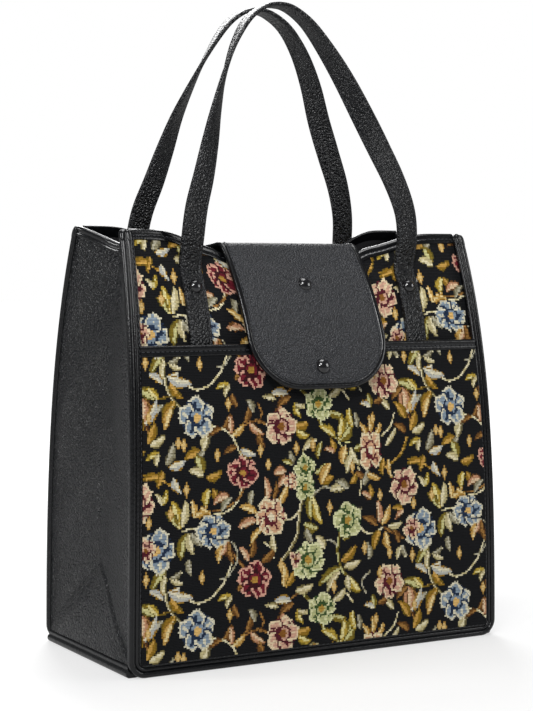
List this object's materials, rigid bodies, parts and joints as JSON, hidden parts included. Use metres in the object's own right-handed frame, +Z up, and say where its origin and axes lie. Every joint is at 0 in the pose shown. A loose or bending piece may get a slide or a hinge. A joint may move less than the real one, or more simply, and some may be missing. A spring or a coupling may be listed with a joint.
{
  "type": "carpet bag",
  "caption": "Tote bag with woven floral walls, folded leather gussets, a front pocket, two strap handles and a snap flap.",
  "frame": {"origin": "on the floor under the middle of the bag", "axes": "+X to the right along the front, -Y out of the front, +Y to the back, +Z up"},
  "size_m": [0.35, 0.1739, 0.5418],
  "materials": {
    "tapestry": "woven cotton tapestry, black ground with flowers in cream, gold and rose",
    "lining_cloth": "plain black twill",
    "board": "stiff grey sheet",
    "black_metal": "glossy black enamel",
    "smooth_leather": "smooth, glossy",
    "flap_leather": "fine grain, semi-gloss",
    "grained_leather": "pebbled grain, semi-gloss"
  },
  "bodies": {
    "bag": {"back_edge_piping": "smooth_leather", "back_left_rim_cap": "smooth_leather", "back_left_rivet": "black_metal", "back_left_strap_tab": "grained_leather", "back_panel": "tapestry", "back_right_rim_cap": "smooth_leather", "back_right_rivet": "black_metal", "back_right_strap_tab": "grained_leather", "back_rim_binding": "smooth_leather", "base_board": "board", "base_panel": "grained_leather", "flap_sewn_end": "flap_leather", "front_edge_piping": "smooth_leather", "front_left_rim_cap": "smooth_leather", "front_left_rivet": "black_metal", "front_left_strap_tab": "grained_leather", "front_panel": "tapestry", "front_right_rim_cap": "smooth_leather", "front_right_rivet": "black_metal", "front_right_strap_tab": "grained_leather", "front_rim_binding": "smooth_leather", "left_base_piping": "smooth_leather", "left_gusset": "grained_leather", "left_gusset_lining": "lining_cloth", "left_gusset_rim_binding": "smooth_leather", "lining_back": "lining_cloth", "lining_floor": "lining_cloth", "lining_front": "lining_cloth", "lower_snap_stud": "black_metal", "pocket_binding": "smooth_leather", "pocket_panel": "tapestry", "right_base_piping": "smooth_leather", "right_gusset": "grained_leather", "right_gusset_lining": "lining_cloth", "right_gusset_rim_binding": "smooth_leather", "upper_snap_stud": "black_metal"},
    "front_handle": {"front_handle_strap": "grained_leather"},
    "back_handle": {"back_handle_strap": "grained_leather"},
    "flap": {"flap_panel": "flap_leather", "flap_edge_binding": "smooth_leather", "upper_snap_cap": "black_metal", "upper_snap_socket": "black_metal", "lower_snap_cap": "black_metal", "lower_snap_socket": "black_metal"}
  },
  "joints": [
    {"name": "front_handle_fold", "type": "hinge", "parent": "bag", "child": "front_handle", "pos_m": [0, -0.05151, 0.31915], "axis": [1, 0, 0], "range_deg": [0, 135]},
    {"name": "back_handle_fold", "type": "hinge", "parent": "bag", "child": "back_handle", "pos_m": [0, 0.05826, 0.31915], "axis": [-1, 0, 0], "range_deg": [0, 135]},
    {"name": "flap_lift", "type": "hinge", "parent": "bag", "child": "flap", "pos_m": [0, 0.0374, 0.33118], "axis": [-1, 0, 0], "range_deg": [0, 80]}
  ]
}
